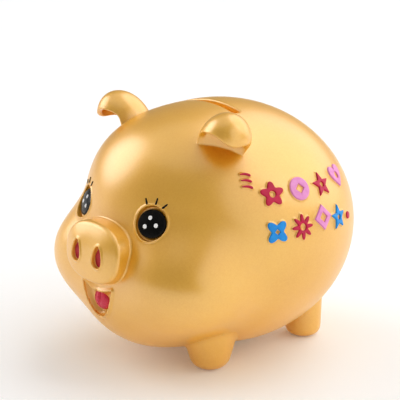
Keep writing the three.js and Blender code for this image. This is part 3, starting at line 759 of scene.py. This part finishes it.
def new_material(name, color, roughness, metallic=0.0, **sockets):
    material = bpy.data.materials.new(name)
    material.use_nodes = True
    shader = material.node_tree.nodes["Principled BSDF"]
    shader.inputs["Base Color"].default_value = (*color, 1)
    shader.inputs["Roughness"].default_value = roughness
    shader.inputs["Metallic"].default_value = metallic
    for socket, value in sockets.items():
        shader.inputs[socket.replace("_", " ")].default_value = value
    return material, material.node_tree.nodes, material.node_tree.links, shader


def noise(nodes, links, coordinates, scale, detail=3.0, roughness=0.55):
    node = nodes.new("ShaderNodeTexNoise")
    node.inputs["Scale"].default_value = scale
    node.inputs["Detail"].default_value = detail
    node.inputs["Roughness"].default_value = roughness
    links.new(coordinates, node.inputs["Vector"])
    return node.outputs["Fac"]


def mapped(nodes, links, value, from_low, from_high, to_low, to_high):
    node = nodes.new("ShaderNodeMapRange")
    ends = {"From Min": from_low, "From Max": from_high, "To Min": to_low, "To Max": to_high}
    for socket, number in ends.items():
        node.inputs[socket].default_value = number
    links.new(value, node.inputs["Value"])
    return node.outputs["Result"]


def mixed_color(nodes, links, factor, first, second):
    node = nodes.new("ShaderNodeMix")
    node.data_type = "RGBA"
    links.new(factor, node.inputs["Factor"])
    for socket, value in (("A", first), ("B", second)):
        target = [s for s in node.inputs if s.name == socket and s.type == "RGBA"][0]
        if isinstance(value, tuple):
            target.default_value = (*value, 1)
        else:
            links.new(value, target)
    return [s for s in node.outputs if s.type == "RGBA"][0]


def bumped(nodes, links, shader, height, strength, distance):
    node = nodes.new("ShaderNodeBump")
    node.inputs["Strength"].default_value = strength
    node.inputs["Distance"].default_value = distance
    links.new(height, node.inputs["Height"])
    links.new(node.outputs["Normal"], shader.inputs["Normal"])


def object_coordinates(nodes):
    return nodes.new("ShaderNodeTexCoord").outputs["Object"]


def gold_lacquer():
    """Satin metallic lacquer: fine flake grain, slow drifts of tone and a few dust specks."""
    material, nodes, links, shader = new_material(
        "gold_lacquer", (0.87, 0.45, 0.02), 0.5, 0.4,
        Specular_Tint=(1.0, 0.6, 0.2, 1), Coat_Weight=1.0, Coat_Roughness=0.3, Coat_IOR=2.3,
    )
    at = object_coordinates(nodes)
    drift = mapped(nodes, links, noise(nodes, links, at, scale=22), *SPREAD, 0, 1)
    tone = mixed_color(nodes, links, drift, (0.84, 0.42, 0.012), (0.9, 0.48, 0.02))
    flakes = nodes.new("ShaderNodeTexVoronoi")
    flakes.inputs["Scale"].default_value = 1500
    links.new(at, flakes.inputs["Vector"])
    sparkle = mapped(nodes, links, flakes.outputs["Color"], 0, 1, 0, 0.3)
    tone = mixed_color(nodes, links, sparkle, tone, (1.0, 0.62, 0.1))
    specks = nodes.new("ShaderNodeTexVoronoi")
    specks.inputs["Scale"].default_value = 55
    links.new(at, specks.inputs["Vector"])
    dust = mapped(nodes, links, specks.outputs["Distance"], 0.022, 0.032, 0.5, 0)
    tone = mixed_color(nodes, links, dust, tone, (0.3, 0.14, 0.03))
    links.new(tone, shader.inputs["Base Color"])
    grain = noise(nodes, links, at, scale=900, detail=2)
    links.new(mapped(nodes, links, grain, *SPREAD, 0.45, 0.55), shader.inputs["Roughness"])
    uneven = noise(nodes, links, at, scale=650, detail=4)
    bumped(nodes, links, shader, uneven, strength=0.12, distance=0.0002)
    return material


def paint(name, color, deep, roughness=0.42):
    """Hand-laid enamel: brush drifts between two tones over a slightly uneven surface."""
    material, nodes, links, shader = new_material(name, color, roughness, 0.0)
    at = object_coordinates(nodes)
    drift = mapped(nodes, links, noise(nodes, links, at, scale=240, detail=4), 0.35, 0.7, 0, 1)
    links.new(mixed_color(nodes, links, drift, color, deep), shader.inputs["Base Color"])
    uneven = noise(nodes, links, at, scale=420, detail=3)
    shine = mapped(nodes, links, uneven, *SPREAD, roughness - 0.08, roughness + 0.1)
    links.new(shine, shader.inputs["Roughness"])
    bumped(nodes, links, shader, uneven, strength=0.25, distance=0.0003)
    return material


def eye_black():
    material, nodes, links, shader = new_material(
        "eye_black", (0.006, 0.005, 0.004), 0.3, Specular_IOR_Level=0.25,
    )
    at = object_coordinates(nodes)
    drift = noise(nodes, links, at, scale=160, detail=4)
    tone = mapped(nodes, links, drift, 0.4, 0.7, 0, 1)
    tone = mixed_color(nodes, links, tone, (0.004, 0.0035, 0.003), (0.01, 0.009, 0.008))
    links.new(tone, shader.inputs["Base Color"])
    links.new(mapped(nodes, links, drift, *SPREAD, 0.22, 0.34), shader.inputs["Roughness"])
    uneven = noise(nodes, links, at, scale=500, detail=2)
    bumped(nodes, links, shader, uneven, strength=0.06, distance=0.0002)
    return material


def stopper_rubber():
    material, nodes, links, shader = new_material("stopper_rubber", (0.62, 0.55, 0.36), 0.7)
    at = object_coordinates(nodes)
    drift = mapped(nodes, links, noise(nodes, links, at, scale=90, detail=5), *SPREAD, 0, 1)
    tone = mixed_color(nodes, links, drift, (0.56, 0.48, 0.30), (0.68, 0.61, 0.42))
    links.new(tone, shader.inputs["Base Color"])
    uneven = noise(nodes, links, at, scale=900, detail=3)
    bumped(nodes, links, shader, uneven, strength=0.3, distance=0.0003)
    return material


def floor_white():
    material, nodes, links, shader = new_material(
        "floor_white", (0.9, 0.9, 0.9), 0.6, Emission_Color=(1, 1, 1, 1), Emission_Strength=0.12,
    )
    at = object_coordinates(nodes)
    drift = mapped(nodes, links, noise(nodes, links, at, scale=3), *SPREAD, 0, 1)
    tone = mixed_color(nodes, links, drift, (0.89, 0.89, 0.89), (0.92, 0.92, 0.92))
    links.new(tone, shader.inputs["Base Color"])
    return material


MATERIALS = {
    "gold_lacquer": gold_lacquer(),
    "nostril_red": paint("nostril_red", (0.52, 0.003, 0.03), (0.4, 0.002, 0.02), 0.34),
    "tongue_pink": paint("tongue_pink", (0.78, 0.06, 0.12), (0.66, 0.025, 0.07), 0.3),
    "eye_black": eye_black(),
    "eye_white": paint("eye_white", (0.98, 0.98, 0.97), (0.94, 0.94, 0.95), 0.3),
    "crimson_paint": paint("crimson_paint", (0.62, 0.012, 0.075), (0.5, 0.01, 0.06)),
    "pink_paint": paint("pink_paint", (0.86, 0.34, 0.66), (0.76, 0.26, 0.55)),
    "blue_paint": paint("blue_paint", (0.01, 0.33, 0.82), (0.01, 0.26, 0.7)),
    "stopper_rubber": stopper_rubber(),
}

# ---------------------------------------------------------------- pieces


def finish_piece(obj, node, slot, body="bank"):
    """Gives a piece its material and its body, and hides the CAD node that it stands for."""
    obj.data.materials.clear()
    obj.data.materials.append(MATERIALS[slot])
    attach(obj, body)
    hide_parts(node)


def box_mm(node, margin=2.5):
    low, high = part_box(node)
    return np.array(low) / MM - margin, np.array(high) / MM + margin


def make_body():
    low, high = box_mm("body_shell")
    obj = sculpted("shell", body_shell, low, high, cell=0.72 * FINE, most=190000)
    finish_piece(obj, "body_shell", "gold_lacquer")


def make_simple(name, node, field, slot, cell, body="bank"):
    obj = sculpted(name, field, *box_mm(node), cell * FINE)
    finish_piece(obj, node, slot, body)


def make_pair(kind, node_of, field, slot, cell):
    """A left piece and its mirror image."""
    for side, sign in SIDES:
        low, high = box_mm(node_of("left"))
        obj = sculpted(f"{side}_{kind}_piece", field, low, high, cell * FINE, mirror=sign < 0)
        finish_piece(obj, node_of(side), slot)


def on_one_side(field):
    """The field without its mirror image."""
    return lambda p: np.maximum(field(p), -p[:, 0])


def lathe(name, profile, segments, origin, axes, side, widening=1.0):
    """A turned piece from (radius, height) points, standing on a place of the skin."""
    turn = np.arange(segments) * 2 * np.pi / segments
    rings = [(r, h) for r, h in profile if r > 1e-6]
    points = [(r * widening * math.cos(a), r * math.sin(a), h) for r, h in rings for a in turn]
    faces = []
    last = (len(rings) - 1) * segments
    for ring in range(0, last, segments):
        above = ring + segments
        for i in range(segments):
            j = (i + 1) % segments
            faces.append((ring + i, ring + j, above + j, above + i))
    faces.append(tuple(reversed(range(segments))))
    faces.append(tuple(range(last, last + segments)))
    place = (np.array(points) @ axes + origin) * (side, 1, 1) * MM
    mesh = bpy.data.meshes.new(name)
    mesh.from_pydata(place, [], faces)
    if side < 0:
        mesh.flip_normals()
    mesh.shade_smooth()
    return new_object(name, mesh)


def dome_height(radius):
    """Height of the eye's dome at a radius."""
    rim = EYE_DISC["floor"] + EYE_DISC["edge"]
    return rim + EYE_DISC["dome"] * (1 - (radius / EYE_DISC["radius"]) ** 2)


EYE_SEGMENTS = 96
SPOT_SEGMENTS = 32
CROWN_PARTS = np.linspace(0.94, 0.02, 18)  # shares of the eye's radius, from its edge to its middle


def make_eye_seat(side, sign):
    """The gold ring that the eye stands in."""
    outside = EYE_SOCKET["radius"] - EYE_SEAT["gap"]
    underside = -EYE_SOCKET["depth"] + EYE_SEAT["lift"]
    profile = [(outside - inward, underside + up) for inward, up in EYE_SEAT_PROFILE]
    seat = lathe(f"{side}_eye_ring", profile, EYE_SEGMENTS, EYE_CENTRE, EYE_AXES, sign)
    finish_piece(seat, f"{side}_eye_seat", "gold_lacquer")


def make_eye_disc(side, sign):
    """The black dome with its rounded edge."""
    radius = EYE_DISC["radius"]
    top = dome_height(radius)
    round_edge = [
        (radius - EYE_DISC["round"] * (1 - math.sin(t)), top - EYE_DISC["round"] * (1 - math.cos(t)))
        for t in np.linspace(np.pi / 2, 0, 6)
    ]
    crown = [(radius * part, dome_height(radius * part)) for part in CROWN_PARTS]
    profile = [(radius, EYE_DISC["floor"]), *round_edge, *crown]
    widening = EYE_DISC["widening"]
    disc = lathe(f"{side}_eye", profile, EYE_SEGMENTS, EYE_CENTRE, EYE_AXES, sign, widening)
    finish_piece(disc, f"{side}_eye_disc", "eye_black")


def make_highlights(side, sign):
    """The white spots on the dome."""
    radius = HIGHLIGHT["radius"]
    for i, (across, up) in enumerate(HIGHLIGHTS, 1):
        base = dome_height(math.hypot(across / EYE_DISC["widening"], up)) - HIGHLIGHT["sink"]
        shoulder = base + HIGHLIGHT["side"]
        dome = [
            (radius * math.cos(t), shoulder + HIGHLIGHT["dome"] * math.sin(t))
            for t in np.linspace(0, 1.5, 8)
        ]
        origin = EYE_CENTRE + np.array([across, up, 0]) @ EYE_AXES
        profile = [(radius, base), *dome]
        spot = lathe(f"{side}_eye_spot_{i}", profile, SPOT_SEGMENTS, origin, EYE_AXES, sign)
        finish_piece(spot, f"{side}_eye_highlight_{i}", "eye_white")


def make_lashes(side, sign):
    for i, ends in enumerate(LASHES, 1):
        low, high = box_mm(f"{side}_eye_lash_{i}", margin=1.2)
        obj = sculpted(f"{side}_lash_{i}", lambda p: lash(p, ends, sign), low, high, cell=0.14 * FINE)
        finish_piece(obj, f"{side}_eye_lash_{i}", "eye_black")


def make_nostrils():
    for side, _ in SIDES:
        low, high = box_mm(f"{side}_nostril_inlay", margin=4)
        obj = sculpted(f"{side}_nostril_floor", nostril_inlay, low, high, cell=0.3 * FINE)
        finish_piece(obj, f"{side}_nostril_inlay", "nostril_red")


def make_motifs():
    for place in MOTIF_PLACES:
        low, high = box_mm(place["name"], margin=1.2)
        obj = sculpted(f"{place['name']}_raised", lambda p: motif(p, place), low, high, cell=0.3 * FINE)
        finish_piece(obj, place["name"], place["paint"])


def make_feet():
    for end in FOOT_PLACES:
        field = on_one_side(lambda p: foot(p, end))
        make_pair(f"{end}_leg", lambda side: f"{end}_{side}_foot", field, "gold_lacquer", cell=0.8)


make_body()
make_simple("snout_drum", "snout", snout, "gold_lacquer", cell=0.5)
make_pair("ear", lambda side: f"{side}_ear", on_one_side(ear), "gold_lacquer", cell=0.5)
make_feet()
make_simple("curly_tail", "tail", tail, "gold_lacquer", cell=0.45)
make_simple("tongue_pad", "tongue", tongue, "tongue_pink", cell=0.3)
make_simple("stopper_plug", "belly_stopper", stopper, "stopper_rubber", cell=0.6, body="stopper")
for side, sign in SIDES:
    make_eye_seat(side, sign)
    make_eye_disc(side, sign)
    make_highlights(side, sign)
    make_lashes(side, sign)
make_nostrils()
make_motifs()

# ---------------------------------------------------------------- floor, light and camera

FLOOR_REACH = 12.0  # metres from the pig to the floor's edge


def make_floor():
    mesh = bpy.data.meshes.new("floor")
    turns = ((-1, -1), (1, -1), (1, 1), (-1, 1))
    corners = [(x * FLOOR_REACH, y * FLOOR_REACH, 0) for x, y in turns]
    mesh.from_pydata(corners, [], [(0, 1, 2, 3)])
    mesh.materials.append(floor_white())
    new_object("floor", mesh)


def facing(azimuth, elevation):
    """Direction from the pig out to something at an azimuth, counted from the snout, and an elevation."""
    a, e = math.radians(azimuth), math.radians(elevation)
    return Vector((math.sin(a) * math.cos(e), -math.cos(a) * math.cos(e), math.sin(e)))


def aimed(obj, back):
    """Turns a light or camera to look against the direction back."""
    obj.rotation_mode = "QUATERNION"
    obj.rotation_quaternion = (-back).to_track_quat("-Z", "Y")


def soft_light(name, azimuth, elevation, strength, width):
    """A broad round light far away, width degrees across."""
    light = bpy.data.lights.new(name, "SUN")
    light.energy = strength
    light.angle = math.radians(width)
    aimed(new_object(name, light), facing(azimuth, elevation))


SOFT_LIGHTS = (  # name, azimuth, elevation, strength and width
    ("left_window", -66, 26, 1.2, 42),
    ("back_window", 166, 40, 2.1, 80),
    ("right_wall", 98, 22, 0.7, 60),
    ("ceiling", -60, 80, 0.5, 70),
)
WALLS = 0.33  # brightness of the room up to WALL_TOP
WALL_TOP = 0.45  # height of a direction, where 1 is straight up
CEILING = 0.46  # brightness straight up
SLOT_GLOW = dict(length=0.05, width=0.01, power=0.03, color=(1.0, 0.8, 0.5), height=0.12)


def make_slot_glow():
    """A weak warm light under the coin slot, for the light that the shell passes on inside."""
    light = bpy.data.lights.new("slot_glow", "AREA")
    light.shape = "RECTANGLE"
    light.size = SLOT_GLOW["length"]
    light.size_y = SLOT_GLOW["width"]
    light.energy = SLOT_GLOW["power"]
    light.color = SLOT_GLOW["color"]
    obj = new_object("slot_glow", light)
    obj.location = (0, SLOT["y"] * MM, SLOT_GLOW["height"])
    obj.rotation_euler = (math.pi, 0, 0)
    obj.visible_camera = False


def make_lights():
    """Soft lights in a pale room whose ceiling is brighter than its walls."""
    for light in SOFT_LIGHTS:
        soft_light(*light)
    world = bpy.data.worlds.new("studio")
    world.use_nodes = True
    nodes, links = world.node_tree.nodes, world.node_tree.links
    background = nodes["Background"]
    height = nodes.new("ShaderNodeSeparateXYZ")
    links.new(nodes.new("ShaderNodeTexCoord").outputs["Generated"], height.inputs[0])
    brightness = mapped(nodes, links, height.outputs["Z"], WALL_TOP, 1, WALLS, CEILING)
    links.new(brightness, background.inputs["Strength"])
    background.inputs["Color"].default_value = (1, 1, 1, 1)
    bpy.context.scene.world = world


CAMERA = dict(azimuth=49.2, elevation=15.2, distance=0.6469, lens=93.97, sensor=36)
CAMERA_TARGET = (-0.00725, -0.0084, 0.0893)
EXPOSURE = -0.45


def make_camera():
    back = facing(CAMERA["azimuth"], CAMERA["elevation"])
    camera = bpy.data.cameras.new("camera")
    camera.lens = CAMERA["lens"]
    camera.sensor_width = CAMERA["sensor"]
    obj = new_object("camera", camera)
    obj.location = Vector(CAMERA_TARGET) + back * CAMERA["distance"]
    aimed(obj, back)
    bpy.context.scene.camera = obj


make_floor()
make_lights()
make_slot_glow()
make_camera()
view = bpy.context.scene.view_settings
view.view_transform = "Standard"
view.look = "Medium High Contrast"
view.exposure = EXPOSURE
